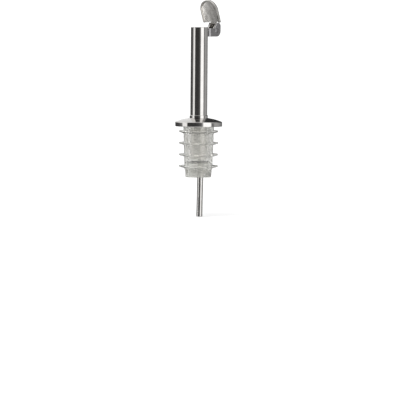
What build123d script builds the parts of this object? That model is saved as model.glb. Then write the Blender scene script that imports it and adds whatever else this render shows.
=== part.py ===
from build123d import *
from math import cos, radians, sin
import os

# Liquor pour spout: a steel tube with a flap lid, set in a finned plastic stopper.
# Millimetres. The origin is on the tube's axis, level with the underside of the flange cap, which
# is the plane that rests on the bottle's lip. +Z runs up the tube to the mouth. The lid is drawn
# open, at the angle of the photograph.

# Spout tube
TUBE_BORE_R = 3.6
TUBE_R = 4.2
TUBE_TOP_Z = 49.1
TUBE_BOTTOM_Z = -16.0
TUBE_EDGE_BREAK = 0.12

# Collar pressed on the tube's foot, over the cap
COLLAR_R = 4.5
COLLAR_TOP_Z = 5.5
COLLAR_FILLET = 0.25

# Flange cap, a dished pressing with a turned-down rim
CAP_R = 11.65
CAP_SHEET = 0.6
CAP_RIM_TOP_Z = 2.35
CAP_CROWN_Z = 4.15
CAP_DISH = 0.25
CAP_BULGE = 0.04
CAP_CORNER = 0.35
CAP_HEM_R = 0.2

# Stopper
HEAD_R = 10.9
HEAD_TOP_Z = 1.7
HEAD_FILLET = 0.3
CORE_TOP_R = 7.6
CORE_SHOULDER_R = 6.9
CORE_STEP = 0.25
CORE_BOTTOM_R = 6.3
CORE_BOTTOM_Z = -25.2
WEB_TOP_Z = -21.4
WEB_THICKNESS = 1.6
FIN_COUNT = 4
FIN_PITCH = 5.75
FIN_FIRST_Z = -2.8
FIN_R = 9.6
FIN_EDGE = 0.7
FIN_ROOT = 1.5
FIN_LIFT = 0.35
SHOULDER_LENGTH = 1.0
CHAMBER_R = 4.9
CHAMBER_CONE = 1.3
PORT_COUNT = 4
PORT_CENTRE_R = 3.75
PORT_WIDTH = 1.4
PORT_SWEEP = 46

# Vent tube, leaning from the stopper's web to the wall of the spout
VENT_R = 1.5
VENT_BORE_R = 1.0
VENT_BOTTOM = Vector(0.67, 0, -44.7)
VENT_TOP = Vector(2.0, 0, 40.0)
VENT_EDGE_BREAK = 0.1

# Hinge: direction from the tube's axis, pin position and lid angle
HINGE_AZIMUTH = 48
PIN_REACH = 9.8
PIN_Z = 47.5
LID_OPEN_ANGLE = 71

# Hinge bracket, a strip bent to a U
BRACKET_HALF_WIDTH = 2.75
BRACKET_SHEET = 0.65
BRACKET_BEND = 2.1
BRACKET_SEAT = 3.9
BRACKET_BOTTOM_Z = 44.4
BRACKET_TOP_Z = 48.5
EAR_REACH = 2.9
EAR_TOP_Y = 3.75
EAR_TOP_CORNER = 1.7
EAR_FOOT_CORNER = 2.85
EAR_FLAT_ANGLE = 59
EAR_FLAT_OFFSET = 1.47

# Hinge pin, a rivet
PIN_R = 0.75
PIN_HEAD_R = 1.35
PIN_HEAD_HEIGHT = 0.5

# Lid, drawn from the pin: u runs along the lid to its tip, v up out of the closed lid
LID_HALF_WIDTH = 5.4
LID_TIP_CENTRE_U = 10.1
LID_SHEET = 0.5
LID_TOP_V = 2.45
LID_CROWN_R = 40.0
LID_SKIRT = 2.2
LID_EDGE_R = 1.3
LID_BACK_U = 3.5
EAR_NOTCH_U = 3.85
EAR_NOTCH_HALF_WIDTH = 2.95
LID_BACK_CORNER = 1.2
LID_SKIRT_CORNER = 0.8
NECK_HALF_WIDTH = 2.0
NECK_BACK_U = -1.3
NECK_EDGE_R = 0.4
LUG_R = 1.75
LUG_FRONT_U = 3.65
PIN_CLEARANCE = 0.05

# The hinge frame: its x runs out from the tube's axis to the pin, and its z runs along the pin
OUTWARD = Vector(cos(radians(HINGE_AZIMUTH)), sin(radians(HINGE_AZIMUTH)), 0)
ALONG_PIN = Vector(OUTWARD.Y, -OUTWARD.X, 0)
PIN_CENTRE = OUTWARD * PIN_REACH + Vector(0, 0, PIN_Z)
PIN_PLANE = Plane(origin=PIN_CENTRE, x_dir=OUTWARD, z_dir=ALONG_PIN)

# The lid's frame: x is u and y is v, swung up from closed by the open angle
LID_U = Vector(0, 0, sin(radians(LID_OPEN_ANGLE))) - OUTWARD * cos(radians(LID_OPEN_ANGLE))
LID_V = Vector(0, 0, cos(radians(LID_OPEN_ANGLE))) + OUTWARD * sin(radians(LID_OPEN_ANGLE))
LID_SIDE = Plane(origin=PIN_CENTRE, x_dir=LID_U, z_dir=LID_U.cross(LID_V))
LID_FACE = Plane(origin=PIN_CENTRE, x_dir=LID_U, z_dir=LID_V)

os.makedirs("parts", exist_ok=True)

# Spout tube, straight from the stopper's chamber to the mouth
with BuildPart() as spout_tube:
    with BuildSketch(Plane.XY.offset(TUBE_BOTTOM_Z)):
        Circle(TUBE_R)
        Circle(TUBE_BORE_R, mode=Mode.SUBTRACT)
    extrude(amount=TUBE_TOP_Z - TUBE_BOTTOM_Z)
    mouth_edges = spout_tube.faces().sort_by(Axis.Z)[-1].edges()
    fillet(mouth_edges, radius=TUBE_EDGE_BREAK)
spout_tube.part.label = "spout_tube"
export_step(spout_tube.part, "parts/spout_tube.step")

# Collar on the tube's foot
with BuildPart() as foot_collar:
    with BuildSketch(Plane.XY.offset(CAP_CROWN_Z)):
        Circle(COLLAR_R)
        Circle(TUBE_R, mode=Mode.SUBTRACT)
    extrude(amount=COLLAR_TOP_Z - CAP_CROWN_Z)
    collar_rim = foot_collar.edges().group_by(Axis.Z)[-1].sort_by(SortBy.RADIUS)[-1]
    fillet(collar_rim, radius=COLLAR_FILLET)
foot_collar.part.label = "foot_collar"
export_step(foot_collar.part, "parts/foot_collar.step")

# Flange cap
with BuildPart() as flange_cap:
    with BuildSketch(Plane.XZ):
        with BuildLine():
            crown_in = (TUBE_R, CAP_CROWN_Z)
            shoulder = (CAP_R - CAP_BULGE - CAP_CORNER, CAP_RIM_TOP_Z)
            rim_top = (CAP_R - CAP_BULGE, CAP_RIM_TOP_Z - CAP_CORNER)
            rim_foot = (CAP_R - CAP_BULGE, 0)
            inner_foot = (CAP_R - CAP_SHEET, 0)
            inner_top = (CAP_R - CAP_SHEET, CAP_RIM_TOP_Z - CAP_SHEET)
            crown_under = (TUBE_R, CAP_CROWN_Z - CAP_SHEET)
            SagittaArc(crown_in, shoulder, CAP_DISH)
            RadiusArc(shoulder, rim_top, CAP_CORNER)
            SagittaArc(rim_top, rim_foot, CAP_BULGE)
            Line(rim_foot, inner_foot)
            Line(inner_foot, inner_top)
            SagittaArc(inner_top, crown_under, -CAP_DISH)
            Line(crown_under, crown_in)
        make_face()
    revolve(axis=Axis.Z)
    rim_foot_edge = flange_cap.edges().group_by(Axis.Z)[0].sort_by(SortBy.RADIUS)[-1]
    fillet(rim_foot_edge, radius=CAP_HEM_R)
flange_cap.part.label = "flange_cap"
export_step(flange_cap.part, "parts/flange_cap.step")

# Stopper: a head under the cap, a tapered core with flexible fins, and a web that grips the vent
core_slope = (CORE_TOP_R - CORE_SHOULDER_R) / -WEB_TOP_Z
with BuildPart() as stopper:
    with BuildSketch(Plane.XZ):
        with BuildLine():
            Polyline(
                (0, CORE_BOTTOM_Z),
                (CORE_BOTTOM_R, CORE_BOTTOM_Z),
                (CORE_SHOULDER_R - CORE_STEP, WEB_TOP_Z),
                (CORE_SHOULDER_R, WEB_TOP_Z),
                (CORE_TOP_R, 0),
                (HEAD_R, 0),
                (HEAD_R, HEAD_TOP_Z),
                (0, HEAD_TOP_Z),
                close=True,
            )
        make_face()
        for fin in range(FIN_COUNT):
            fin_z = FIN_FIRST_Z - fin * FIN_PITCH
            root_r = CORE_TOP_R + fin_z * core_slope - CORE_STEP
            with BuildLine():
                Polyline(
                    (root_r, fin_z - FIN_ROOT / 2),
                    (FIN_R, fin_z + FIN_LIFT - FIN_EDGE / 2),
                    (FIN_R, fin_z + FIN_LIFT + FIN_EDGE / 2),
                    (root_r, fin_z + FIN_ROOT / 2),
                    close=True,
                )
            make_face()
    revolve(axis=Axis.Z)
    fillet(stopper.edges().group_by(Axis.Z)[-1], radius=HEAD_FILLET)
    with BuildSketch(Plane.XZ):
        with BuildLine():
            Polyline(
                (0, HEAD_TOP_Z),
                (TUBE_R, HEAD_TOP_Z),
                (TUBE_R, TUBE_BOTTOM_Z),
                (TUBE_BORE_R, TUBE_BOTTOM_Z),
                (TUBE_BORE_R, TUBE_BOTTOM_Z - SHOULDER_LENGTH),
                (CHAMBER_R, TUBE_BOTTOM_Z - SHOULDER_LENGTH - CHAMBER_CONE),
                (CHAMBER_R, WEB_TOP_Z),
                (0, WEB_TOP_Z),
                close=True,
            )
        make_face()
    revolve(axis=Axis.Z, mode=Mode.SUBTRACT)
    with BuildSketch(Plane.XY.offset(CORE_BOTTOM_Z)):
        Circle(CHAMBER_R)
    extrude(amount=WEB_TOP_Z - WEB_THICKNESS - CORE_BOTTOM_Z, mode=Mode.SUBTRACT)
    with BuildSketch(Plane.XY.offset(WEB_TOP_Z)):
        for port in range(PORT_COUNT):
            start = (port + 0.5) * 360 / PORT_COUNT - PORT_SWEEP / 2
            SlotArc(CenterArc((0, 0), PORT_CENTRE_R, start, PORT_SWEEP), PORT_WIDTH)
    extrude(amount=-WEB_THICKNESS, mode=Mode.SUBTRACT)
    with BuildSketch(Plane(origin=VENT_BOTTOM, z_dir=VENT_TOP - VENT_BOTTOM)):
        Circle(VENT_R)
    extrude(amount=(VENT_TOP - VENT_BOTTOM).length, mode=Mode.SUBTRACT)
stopper.part.label = "stopper"
export_step(stopper.part, "parts/stopper.step")

# Vent tube
with BuildPart() as vent_tube:
    with BuildSketch(Plane(origin=VENT_BOTTOM, z_dir=VENT_TOP - VENT_BOTTOM)):
        Circle(VENT_R)
        Circle(VENT_BORE_R, mode=Mode.SUBTRACT)
    extrude(amount=(VENT_TOP - VENT_BOTTOM).length)
    vent_rims = vent_tube.edges().filter_by(GeomType.CIRCLE).sort_by(SortBy.RADIUS)[-2:]
    chamfer(vent_rims, length=VENT_EDGE_BREAK)
vent_tube.part.label = "vent_tube"
export_step(vent_tube.part, "parts/vent_tube.step")

# Hinge bracket: a U of strip whose bend is cut to seat on the tube. Each ear has a slanted flat
# facing the mouth, and rounded outer corners.
ear_drop = PIN_Z - BRACKET_BOTTOM_Z
ear_rise = BRACKET_TOP_Z - PIN_Z
back_x = BRACKET_SEAT - PIN_REACH
ear_tip = PIN_REACH + EAR_REACH
flat_along = Vector(cos(radians(EAR_FLAT_ANGLE)), sin(radians(EAR_FLAT_ANGLE)))
flat_middle = Vector(-flat_along.Y, flat_along.X) * EAR_FLAT_OFFSET
flat_top_x = flat_middle.X + (EAR_TOP_Y - flat_middle.Y) * flat_along.X / flat_along.Y
flat_foot_x = flat_middle.X + (ear_rise - flat_middle.Y) * flat_along.X / flat_along.Y
with BuildPart() as hinge_bracket:
    with BuildSketch(Plane(origin=(0, 0, BRACKET_BOTTOM_Z), x_dir=OUTWARD, z_dir=(0, 0, 1))):
        with BuildLine():
            for inset in (0, BRACKET_SHEET):
                FilletPolyline(
                    (ear_tip, BRACKET_HALF_WIDTH - inset),
                    (BRACKET_SEAT + inset, BRACKET_HALF_WIDTH - inset),
                    (BRACKET_SEAT + inset, inset - BRACKET_HALF_WIDTH),
                    (ear_tip, inset - BRACKET_HALF_WIDTH),
                    radius=BRACKET_BEND - inset,
                )
            for side in (-1, 1):
                Line(
                    (ear_tip, side * BRACKET_HALF_WIDTH),
                    (ear_tip, side * (BRACKET_HALF_WIDTH - BRACKET_SHEET)),
                )
        make_face()
    extrude(amount=ear_drop + EAR_TOP_Y)
    with BuildSketch(PIN_PLANE.offset(-BRACKET_HALF_WIDTH)) as ear_outline:
        with BuildLine():
            Polyline(
                (EAR_REACH, EAR_TOP_Y),
                (EAR_REACH, -ear_drop),
                (back_x, -ear_drop),
                (back_x, ear_rise),
                (flat_foot_x, ear_rise),
                (flat_top_x, EAR_TOP_Y),
                close=True,
            )
        make_face()
        outer_top = ear_outline.vertices().sort_by(Axis.Y)[-2:].sort_by(Axis.X)[-1]
        fillet(outer_top, radius=EAR_TOP_CORNER)
        outer_foot = ear_outline.vertices().group_by(Axis.Y)[0].sort_by(Axis.X)[-1]
        fillet(outer_foot, radius=EAR_FOOT_CORNER)
        Circle(PIN_R, mode=Mode.SUBTRACT)
    extrude(amount=2 * BRACKET_HALF_WIDTH, mode=Mode.INTERSECT)
    with BuildSketch(Plane.XY.offset(BRACKET_BOTTOM_Z)):
        Circle(TUBE_R)
    extrude(amount=BRACKET_TOP_Z - BRACKET_BOTTOM_Z, mode=Mode.SUBTRACT)
hinge_bracket.part.label = "hinge_bracket"
export_step(hinge_bracket.part, "parts/hinge_bracket.step")

# Hinge pin: a rivet with a low domed head outside each ear
head_top = BRACKET_HALF_WIDTH + PIN_HEAD_HEIGHT
dome_r = (PIN_HEAD_R**2 + PIN_HEAD_HEIGHT**2) / (2 * PIN_HEAD_HEIGHT)
with BuildPart() as hinge_pin:
    with BuildSketch(PIN_PLANE.offset(-BRACKET_HALF_WIDTH)):
        Circle(PIN_R)
    extrude(amount=2 * BRACKET_HALF_WIDTH)
    for side in (-1, 1):
        with BuildSketch(Plane(origin=PIN_CENTRE, x_dir=OUTWARD, z_dir=ALONG_PIN.cross(OUTWARD))):
            with BuildLine():
                Line((0, side * BRACKET_HALF_WIDTH), (0, side * head_top))
                RadiusArc((0, side * head_top), (PIN_HEAD_R, side * BRACKET_HALF_WIDTH), side * dome_r)
                Line((PIN_HEAD_R, side * BRACKET_HALF_WIDTH), (0, side * BRACKET_HALF_WIDTH))
            make_face()
        revolve(axis=Axis(PIN_CENTRE, ALONG_PIN))
hinge_pin.part.label = "hinge_pin"
export_step(hinge_pin.part, "parts/hinge_pin.step")

# Lid tongue: a crowned floor with a skirt round its tip and sides, open towards the hinge. Its back
# edge is notched where the ears pass.
lid_foot_v = LID_TOP_V - LID_SKIRT
hollow_half_width = LID_HALF_WIDTH - LID_SHEET
crown_centre = PIN_CENTRE + LID_V * (LID_TOP_V - LID_CROWN_R)
with BuildPart() as lid_hollow:
    with BuildSketch(LID_FACE.offset(lid_foot_v)):
        with Locations((LID_TIP_CENTRE_U, 0)):
            Circle(hollow_half_width)
            Rectangle(LID_TIP_CENTRE_U, 2 * hollow_half_width, align=(Align.MAX, Align.CENTER))
    extrude(amount=LID_SKIRT - LID_SHEET)
    with BuildSketch(Plane(origin=crown_centre, x_dir=LID_V, z_dir=LID_U)):
        Circle(LID_CROWN_R - LID_SHEET)
    extrude(amount=2 * LID_TIP_CENTRE_U, mode=Mode.INTERSECT)
    hollow_rim = lid_hollow.faces().sort_by(Axis(PIN_CENTRE, LID_V))[-1].edges()
    fillet(hollow_rim.sort_by(Axis(PIN_CENTRE, LID_U))[1:], radius=LID_EDGE_R - LID_SHEET)

with BuildPart() as lid_tongue:
    with BuildSketch(LID_FACE.offset(lid_foot_v)):
        with Locations((LID_TIP_CENTRE_U, 0)):
            Circle(LID_HALF_WIDTH)
            Rectangle(LID_TIP_CENTRE_U, 2 * LID_HALF_WIDTH, align=(Align.MAX, Align.CENTER))
    extrude(amount=LID_SKIRT)
    with BuildSketch(Plane(origin=crown_centre, x_dir=LID_V, z_dir=LID_U)):
        Circle(LID_CROWN_R)
    extrude(amount=2 * LID_TIP_CENTRE_U, mode=Mode.INTERSECT)
    tongue_rim = lid_tongue.faces().sort_by(Axis(PIN_CENTRE, LID_V))[-1].edges()
    fillet(tongue_rim.sort_by(Axis(PIN_CENTRE, LID_U))[1:], radius=LID_EDGE_R)
    add(lid_hollow.part, mode=Mode.SUBTRACT)
    with BuildSketch(LID_SIDE.offset(-LID_HALF_WIDTH)):
        with Locations((LID_BACK_U, LID_TOP_V)):
            lid_side = Rectangle(2 * LID_TIP_CENTRE_U, LID_SKIRT, align=(Align.MIN, Align.MAX))
        back_foot = lid_side.vertices().group_by(Axis.X)[0].sort_by(Axis.Y)[0]
        fillet(back_foot, radius=LID_SKIRT_CORNER)
    extrude(amount=2 * LID_HALF_WIDTH, mode=Mode.INTERSECT)
    with BuildSketch(LID_FACE.offset(lid_foot_v)) as back_plan:
        with Locations((LID_BACK_U, 0)):
            Rectangle(2 * LID_TIP_CENTRE_U, 2 * LID_HALF_WIDTH, align=(Align.MIN, Align.CENTER))
        fillet(back_plan.vertices().group_by(Axis.X)[0], radius=LID_BACK_CORNER)
        Rectangle(
            EAR_NOTCH_U,
            2 * EAR_NOTCH_HALF_WIDTH,
            align=(Align.MIN, Align.CENTER),
            mode=Mode.SUBTRACT,
        )
    extrude(amount=LID_SKIRT, mode=Mode.INTERSECT)

# Lid neck: a channel that narrows to a lug on each side of the pin, between the bracket's ears
with BuildPart() as lid_neck:
    with BuildSketch(Plane(origin=PIN_CENTRE - LID_U * LUG_R, x_dir=-LID_SIDE.z_dir, z_dir=LID_U)):
        with Locations((0, LID_TOP_V)):
            channel = Rectangle(2 * NECK_HALF_WIDTH, LID_TOP_V + LUG_R, align=(Align.CENTER, Align.MAX))
        fillet(channel.vertices().group_by(Axis.Y)[-1], radius=NECK_EDGE_R)
        with Locations((0, LID_TOP_V - LID_SHEET)):
            Rectangle(
                2 * (NECK_HALF_WIDTH - LID_SHEET),
                LID_TOP_V + LUG_R,
                align=(Align.CENTER, Align.MAX),
                mode=Mode.SUBTRACT,
            )
    extrude(amount=LUG_R + LUG_FRONT_U + LID_EDGE_R)
    with BuildSketch(LID_SIDE.offset(-NECK_HALF_WIDTH)):
        Circle(LUG_R)
        with BuildLine():
            Line((NECK_BACK_U, LID_TOP_V), (LUG_FRONT_U, LID_TOP_V))
        make_hull()
        with Locations((LUG_FRONT_U, LID_TOP_V)):
            Rectangle(2 * LID_EDGE_R, LID_SHEET, align=(Align.CENTER, Align.MAX))
        Circle(PIN_R + PIN_CLEARANCE, mode=Mode.SUBTRACT)
    extrude(amount=2 * NECK_HALF_WIDTH, mode=Mode.INTERSECT)

with BuildPart() as lid:
    add(lid_tongue.part)
    add(lid_neck.part)
lid.part.label = "lid"
export_step(lid.part, "parts/lid.step")
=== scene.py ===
import math

import bpy
from mathutils import Matrix, Vector


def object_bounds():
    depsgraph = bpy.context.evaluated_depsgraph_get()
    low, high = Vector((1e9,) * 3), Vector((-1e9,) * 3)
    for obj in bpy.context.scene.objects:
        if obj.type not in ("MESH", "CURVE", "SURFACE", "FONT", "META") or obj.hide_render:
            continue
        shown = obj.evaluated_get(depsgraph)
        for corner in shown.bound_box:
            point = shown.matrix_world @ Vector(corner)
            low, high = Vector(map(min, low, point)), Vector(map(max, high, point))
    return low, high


MM = 0.001

# Camera: a long lens a little above the spout, looking along +Y
CAMERA_AIM = Vector((0.93, 0.0, -36.6)) * MM
CAMERA_DISTANCE = 1.96
CAMERA_ELEVATION = math.radians(3.3)
CAMERA_ROLL = math.radians(0.44)
CAMERA_LENS = 355.5

# Stage
FLOOR_GAP = 0.3 * MM
FLOOR_RADIUS = 30.0
SUN_STRENGTH = 1.2
SUN_ANGLE = math.radians(45)
SUN_TILT = (math.radians(38), math.radians(-22), 0)

# What polished steel reflects, as brightness by compass direction: 0 is behind, 0.25 left,
# 0.5 towards the camera and 0.75 right. One row is level, one is above and one is below.
LEVEL_LIGHTS = (
    (0.000, 0.12), (0.100, 0.07), (0.180, 0.10), (0.225, 0.17), (0.252, 0.22), (0.266, 1.30),
    (0.331, 1.30), (0.343, 0.06), (0.470, 0.05), (0.512, 0.10), (0.534, 0.15), (0.552, 0.32),
    (0.570, 1.60), (0.672, 1.60), (0.686, 0.22), (0.714, 0.20), (0.735, 0.50), (0.800, 0.47),
    (0.860, 0.33), (0.920, 0.22), (1.000, 0.12),
)
UPPER_LIGHTS = (
    (0.000, 0.95), (0.100, 0.95), (0.160, 1.30), (0.331, 1.30), (0.343, 0.06), (0.490, 0.055),
    (0.532, 0.15), (0.552, 0.32), (0.570, 1.60), (0.672, 1.60), (0.686, 0.50), (0.800, 0.50),
    (0.850, 0.06), (1.000, 0.04),
)
LOWER_LIGHTS = (
    (0.000, 0.12), (0.170, 0.14), (0.200, 0.14), (0.245, 0.33), (0.285, 0.56), (0.330, 1.35),
    (0.660, 1.35), (0.700, 0.50), (0.760, 0.30), (1.000, 0.20),
)
OVERHEAD_LIGHT = 0.9

# Where one row gives way to the next, as the vertical part of the direction
LOWER_TO_LEVEL = (-0.35, -0.12)
LEVEL_TO_UPPER = (0.02, 0.10)
UPPER_TO_OVERHEAD = (0.65, 0.85)

# Surface detail
SMUDGE_SCALE = 260.0
WAVE_HEIGHT = 1.0 * MM
GRAIN_HEIGHT = 0.02 * MM
FLOW_HEIGHT = 0.3 * MM
FLOOR_TONES = ((0.3, 0.90), (0.7, 0.93))
FLOOR_TONE_SCALE = 9.0

# Base colours
WARM_STEEL = (0.66, 0.645, 0.63)
WARM_STEEL_DARK = (0.58, 0.565, 0.55)
LID_STEEL = (0.82, 0.80, 0.77)
LID_STEEL_DARK = (0.62, 0.60, 0.57)
HINGE_STEEL = (0.40, 0.395, 0.40)
HINGE_STEEL_DARK = (0.27, 0.265, 0.27)
RIVET_STEEL = (0.32, 0.315, 0.32)
RIVET_STEEL_DARK = (0.22, 0.215, 0.22)
PLASTIC = (0.90, 0.90, 0.87)
PLASTIC_DARK = (0.80, 0.80, 0.76)
PLASTIC_IOR = 1.45
PLASTIC_TRANSMISSION = 0.86

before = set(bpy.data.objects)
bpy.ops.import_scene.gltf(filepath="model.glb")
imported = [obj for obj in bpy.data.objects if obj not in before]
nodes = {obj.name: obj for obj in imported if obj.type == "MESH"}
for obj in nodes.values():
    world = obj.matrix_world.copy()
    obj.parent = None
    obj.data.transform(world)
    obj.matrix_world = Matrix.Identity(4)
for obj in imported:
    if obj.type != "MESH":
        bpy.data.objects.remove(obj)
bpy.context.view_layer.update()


# Small helpers for node trees

def add_node(tree, kind, settings=None, **inputs):
    """Adds a node. Inputs are values, or sockets of other nodes to link from, and i0, i1 and so
    on name an input by its place in the node."""
    node = tree.nodes.new(kind)
    for name, value in (settings or {}).items():
        setattr(node, name, value)
    for name, value in inputs.items():
        if name[0] == "i" and name[1:].isdigit():
            socket = node.inputs[int(name[1:])]
        else:
            socket = node.inputs[name.replace("_", " ")]
        if isinstance(value, bpy.types.NodeSocket):
            tree.links.new(value, socket)
        else:
            socket.default_value = value
    return node


def math_node(tree, operation, first, second=0.0):
    return add_node(tree, "ShaderNodeMath", {"operation": operation}, i0=first, i1=second).outputs[0]


def scaled(tree, coordinates, scale):
    return add_node(tree, "ShaderNodeMapping", Vector=coordinates, Scale=scale).outputs[0]


def noise(tree, coordinates, scale, detail=3.0):
    node = add_node(tree, "ShaderNodeTexNoise", Vector=coordinates, Scale=scale, Detail=detail)
    return node.outputs["Fac"]


def remap(tree, value, low, high, start=0.3, end=0.7):
    """Maps value from start..end to low..high, held at both ends."""
    node = add_node(
        tree, "ShaderNodeMapRange",
        Value=value, From_Min=start, From_Max=end, To_Min=low, To_Max=high,
    )
    return node.outputs[0]


def mix_colours(tree, factor, first, second):
    return add_node(
        tree, "ShaderNodeMix", {"data_type": "RGBA"}, i0=factor, i6=first, i7=second,
    ).outputs[2]


def colour_ramp(tree, value, stops):
    """A ramp from value to grey levels or colours, with a stop for each row."""
    node = add_node(tree, "ShaderNodeValToRGB", Fac=value)
    elements = node.color_ramp.elements
    while len(elements) < len(stops):
        elements.new(1.0)
    for element, (position, level) in zip(elements, stops):
        element.position = position
        element.color = (*level, 1.0) if isinstance(level, tuple) else (level, level, level, 1.0)
    return node.outputs["Color"]


def bump(tree, height, distance, strength, normal=None):
    node = add_node(tree, "ShaderNodeBump", Height=height, Distance=distance, Strength=strength)
    if normal is not None:
        tree.links.new(normal, node.inputs["Normal"])
    return node.outputs["Normal"]


def new_material(name):
    material = bpy.data.materials.new(name)
    material.use_nodes = True
    tree = material.node_tree
    shader = tree.nodes["Principled BSDF"]
    return material, tree, shader


def steel(name, light, dark, grain, roughness, grain_bump, wave_bump, smudge=0.08, wave_scale=95.0):
    """Stainless steel: brushing drawn out along grain, smudges, and the faint waves of a pressing."""
    material, tree, shader = new_material(name)
    place = add_node(tree, "ShaderNodeTexCoord").outputs["Object"]
    brushing = noise(tree, scaled(tree, place, grain), 1.0, 4.0)
    smudges = noise(tree, place, SMUDGE_SCALE, 5.0)
    waves = noise(tree, place, wave_scale, 1.0)
    tone = mix_colours(tree, remap(tree, smudges, 0.0, 1.0), (*dark, 1.0), (*light, 1.0))
    tree.links.new(tone, shader.inputs["Base Color"])
    polish = remap(tree, brushing, roughness[0], roughness[1])
    marks = remap(tree, smudges, 0.0, smudge)
    tree.links.new(math_node(tree, "ADD", polish, marks), shader.inputs["Roughness"])
    shader.inputs["Metallic"].default_value = 1.0
    wavy = bump(tree, waves, WAVE_HEIGHT, wave_bump)
    tree.links.new(bump(tree, brushing, GRAIN_HEIGHT, grain_bump, wavy), shader.inputs["Normal"])
    return material


def polyethylene(name):
    """Milky translucent plastic with faint clouds inside and a fine moulded skin."""
    material, tree, shader = new_material(name)
    place = add_node(tree, "ShaderNodeTexCoord").outputs["Object"]
    clouds = noise(tree, scaled(tree, place, (170.0, 170.0, 90.0)), 1.0, 3.0)
    skin = noise(tree, place, 2600.0, 2.0)
    flow = noise(tree, scaled(tree, place, (300.0, 300.0, 40.0)), 1.0, 2.0)
    cloudiness = remap(tree, clouds, 0.0, 1.0)
    tone = mix_colours(tree, cloudiness, (*PLASTIC_DARK, 1.0), (*PLASTIC, 1.0))
    tree.links.new(tone, shader.inputs["Base Color"])
    tree.links.new(remap(tree, skin, 0.13, 0.22), shader.inputs["Roughness"])
    shader.inputs["IOR"].default_value = PLASTIC_IOR
    shader.inputs["Transmission Weight"].default_value = PLASTIC_TRANSMISSION
    soft = bump(tree, flow, FLOW_HEIGHT, 0.25)
    tree.links.new(bump(tree, skin, GRAIN_HEIGHT, 0.25, soft), shader.inputs["Normal"])
    return material


tube_steel = steel(
    "tube_steel", WARM_STEEL, WARM_STEEL_DARK, grain=(5200, 5200, 90), roughness=(0.045, 0.10),
    grain_bump=0.05, wave_bump=0.02, smudge=0.03,
)
cap_steel = steel(
    "cap_steel", WARM_STEEL, WARM_STEEL_DARK, grain=(300, 300, 5200), roughness=(0.05, 0.11),
    grain_bump=0.05, wave_bump=0.02, smudge=0.03,
)
vent_steel = steel(
    "vent_steel", WARM_STEEL, WARM_STEEL_DARK, grain=(7000, 7000, 160), roughness=(0.10, 0.20),
    grain_bump=0.12, wave_bump=0.03,
)
hinge_steel = steel(
    "hinge_steel", HINGE_STEEL, HINGE_STEEL_DARK, grain=(900, 900, 2600), roughness=(0.20, 0.34),
    grain_bump=0.15, wave_bump=0.10,
)
lid_steel = steel(
    "lid_steel", LID_STEEL, LID_STEEL_DARK, grain=(2600, 2600, 600), roughness=(0.17, 0.27),
    grain_bump=0.08, wave_bump=0.16, smudge=0.05, wave_scale=340.0,
)
rivet_steel = steel(
    "rivet_steel", RIVET_STEEL, RIVET_STEEL_DARK, grain=(1800, 1800, 1800),
    roughness=(0.42, 0.56), grain_bump=0.15, wave_bump=0.10,
)
stopper_plastic = polyethylene("stopper_plastic")

FINISHES = {
    "spout_tube": tube_steel,
    "foot_collar": tube_steel,
    "flange_cap": cap_steel,
    "vent_tube": vent_steel,
    "hinge_bracket": hinge_steel,
    "hinge_pin": rivet_steel,
    "lid": lid_steel,
    "stopper": stopper_plastic,
}
for node_name, material in FINISHES.items():
    for material_slot in nodes[node_name].material_slots:
        material_slot.material = material


# Stage: a pale floor under the vent's end, a soft sun, and a studio that the steel reflects

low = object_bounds()[0]
bpy.ops.mesh.primitive_circle_add(
    vertices=96, radius=FLOOR_RADIUS, fill_type="NGON", location=(0, 0, low.z - FLOOR_GAP),
)
floor = bpy.context.object
floor.name = "floor"
floor.visible_glossy = False
floor_material, floor_tree, floor_shader = new_material("floor_white")
floor_place = add_node(floor_tree, "ShaderNodeTexCoord").outputs["Object"]
floor_tone = colour_ramp(floor_tree, noise(floor_tree, floor_place, FLOOR_TONE_SCALE), FLOOR_TONES)
floor_tree.links.new(floor_tone, floor_shader.inputs["Base Color"])
floor_shader.inputs["Roughness"].default_value = 0.9
floor_shader.inputs["Specular IOR Level"].default_value = 0.0
floor.data.materials.append(floor_material)

sun = bpy.data.objects.new("soft_sun", bpy.data.lights.new("soft_sun", "SUN"))
sun.data.energy = SUN_STRENGTH
sun.data.angle = SUN_ANGLE
sun.rotation_euler = SUN_TILT
sun.visible_glossy = False
bpy.context.scene.collection.objects.link(sun)

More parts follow.
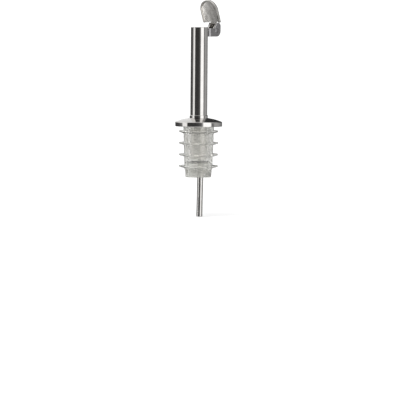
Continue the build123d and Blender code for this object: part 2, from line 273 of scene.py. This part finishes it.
world = bpy.data.worlds.new("studio")
world.use_nodes = True
bpy.context.scene.world = world
studio = world.node_tree
studio.nodes.clear()
direction = add_node(studio, "ShaderNodeTexCoord").outputs["Generated"]
parts = add_node(studio, "ShaderNodeSeparateXYZ", Vector=direction)
towards_camera = math_node(studio, "MULTIPLY", parts.outputs["Y"], -1.0)
compass = math_node(studio, "ARCTAN2", parts.outputs["X"], towards_camera)
turn = math_node(studio, "ADD", math_node(studio, "MULTIPLY", compass, 0.5 / math.pi), 0.5)
height = parts.outputs["Z"]
rows = [colour_ramp(studio, turn, stops) for stops in (LEVEL_LIGHTS, UPPER_LIGHTS, LOWER_LIGHTS)]
above = remap(studio, height, 0.0, 1.0, *LEVEL_TO_UPPER)
below = remap(studio, height, 1.0, 0.0, *LOWER_TO_LEVEL)
overhead = remap(studio, height, 0.0, 1.0, *UPPER_TO_OVERHEAD)
ceiling = (OVERHEAD_LIGHT, OVERHEAD_LIGHT, OVERHEAD_LIGHT, 1.0)
mixed = mix_colours(studio, above, rows[0], rows[1])
mixed = mix_colours(studio, below, mixed, rows[2])
mixed = mix_colours(studio, overhead, mixed, ceiling)
reflected = add_node(studio, "ShaderNodeBackground", Color=mixed)
ambient = add_node(studio, "ShaderNodeBackground", Color=(1.0, 1.0, 1.0, 1.0))
glossy_ray = add_node(studio, "ShaderNodeLightPath").outputs["Is Glossy Ray"]
both = add_node(
    studio, "ShaderNodeMixShader",
    Fac=glossy_ray, i1=ambient.outputs[0], i2=reflected.outputs[0],
)
add_node(studio, "ShaderNodeOutputWorld", Surface=both.outputs[0])

camera = bpy.data.objects.new("camera", bpy.data.cameras.new("camera"))
camera.data.lens = CAMERA_LENS
camera.data.clip_start = 0.05
camera.data.clip_end = 100.0
backward = Vector((0.0, -math.cos(CAMERA_ELEVATION), math.sin(CAMERA_ELEVATION)))
look = (-backward).to_track_quat("-Z", "Y").to_matrix().to_4x4()
position = Matrix.Translation(CAMERA_AIM + backward * CAMERA_DISTANCE)
camera.matrix_world = position @ look @ Matrix.Rotation(CAMERA_ROLL, 4, "Z")
bpy.context.scene.collection.objects.link(camera)
bpy.context.scene.camera = camera

bpy.context.scene.view_settings.view_transform = "Standard"
bpy.context.scene.view_settings.look = "None"
